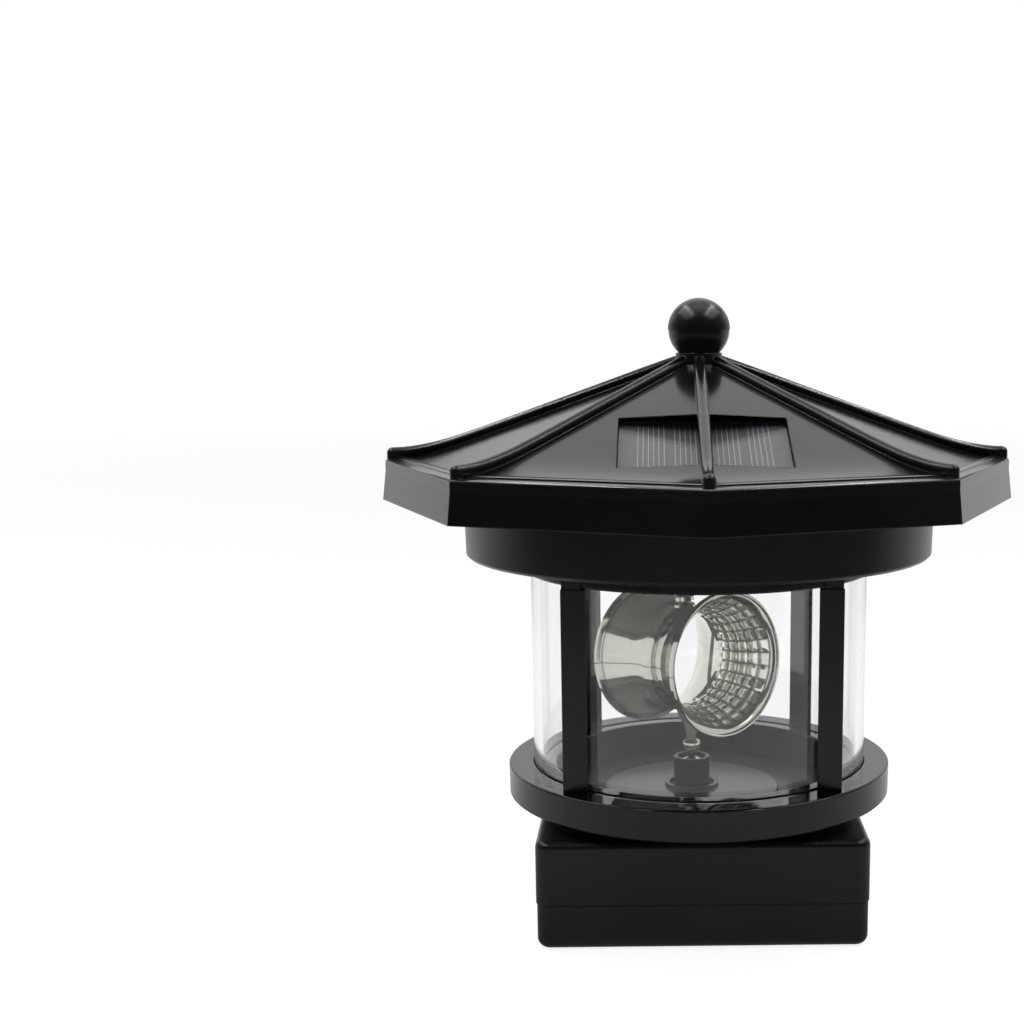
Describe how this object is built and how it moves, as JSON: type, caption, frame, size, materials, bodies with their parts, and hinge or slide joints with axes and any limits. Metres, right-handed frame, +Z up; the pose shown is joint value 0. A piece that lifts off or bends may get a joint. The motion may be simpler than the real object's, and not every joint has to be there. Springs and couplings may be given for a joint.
{
  "type": "garden lighthouse lantern",
  "caption": "Solar garden lantern shaped like a lighthouse lamp room, with a ribbed eight-sided roof, clear cylinder and a turning double-horn lens.",
  "frame": {"origin": "middle of the square resting face on the ground", "axes": "+Z up, -Y the front with the solar window, +X to the right seen from the front"},
  "size_m": [0.145, 0.145, 0.1405],
  "materials": {
    "black_gloss": "glossy injection-moulded black plastic, slightly wavy reflections",
    "black_satin": "satin moulded black plastic with fine grain",
    "black_post": "smooth satin black plastic",
    "clear_acrylic": "clear polished acrylic tube",
    "smoke_clear": "slightly smoky clear plastic, polished, faceted inside",
    "floor_grey": "glossy dark grey plastic plate",
    "cell_dark": "dark grey-brown silicon strips with pale fingers on a thin board",
    "cover_clear": "clear epoxy cover, glossy",
    "white_acetal": "natural white acetal",
    "steel": "zinc-plated steel",
    "motor_can": "drawn steel can",
    "brass": "turned brass",
    "rubber": "black silicone seal",
    "pcb": "green board with black parts",
    "battery_skin": "plain shrink sleeve",
    "contact": "nickel-plated spring steel",
    "lead_black": "black insulated lead",
    "lead_red": "red insulated lead",
    "led": "clear lamp body"
  },
  "bodies": {
    "housing": {"base_lower_shell": "black_satin", "base_upper_shell": "black_satin", "base_screws": "steel", "deck_screws": "steel", "battery_door": "black_satin", "battery_door_screws": "steel", "battery_cell": "battery_skin", "battery_contact_plus": "contact", "battery_contact_spring": "contact", "switch_housing": "black_post", "gallery_deck": "black_gloss", "deck_floor_plate": "floor_grey", "hub_bush": "white_acetal", "glass_cylinder": "clear_acrylic", "glass_seal_lower": "rubber", "glass_seal_upper": "rubber", "post_front_left": "black_post", "post_front_right": "black_post", "post_back_right": "black_post", "post_back_left": "black_post", "drum_and_soffit": "black_satin", "roof_shell": "black_gloss", "roof_screws": "steel", "finial_lower": "black_gloss", "finial_upper": "black_gloss", "finial_screw": "steel", "solar_cell_board": "cell_dark", "solar_cover": "cover_clear", "geared_motor": "motor_can", "motor_screws": "steel", "lamp_spindle": "white_acetal", "thrust_washer": "white_acetal", "led_lamp": "led", "control_board": "pcb", "board_screws": "steel", "panel_lead": "lead_black", "motor_lead": "lead_red", "lamp_lead": "lead_black", "battery_lead_plus": "lead_red", "battery_lead_minus": "lead_black", "switch_lead": "lead_red"},
    "rotor": {"rotor_hub": "black_satin", "drive_gear": "white_acetal", "lens_upper_half": "smoke_clear", "lens_lower_half": "smoke_clear"},
    "motor_output": {"motor_pinion": "brass", "motor_shaft": "steel"},
    "switch_knob": {"switch_slider": "black_post"}
  },
  "joints": [
    {"name": "lens_spin", "type": "hinge", "parent": "housing", "child": "rotor", "pos_m": [-0.0017, 0, 0.0579], "axis": [0, 0, 1], "continuous": true},
    {"name": "pinion_spin", "type": "hinge", "parent": "housing", "child": "motor_output", "pos_m": [-0.0017, -0.0125, 0.018], "axis": [0, 0, 1], "continuous": true},
    {"name": "switch_slide", "type": "slide", "parent": "housing", "child": "switch_knob", "axis": [1, 0, 0], "range_m": [0, 0.0026]}
  ],
  "couplings": [
    {"joint": "pinion_spin", "follows": "lens_spin", "ratio": -4}
  ]
}
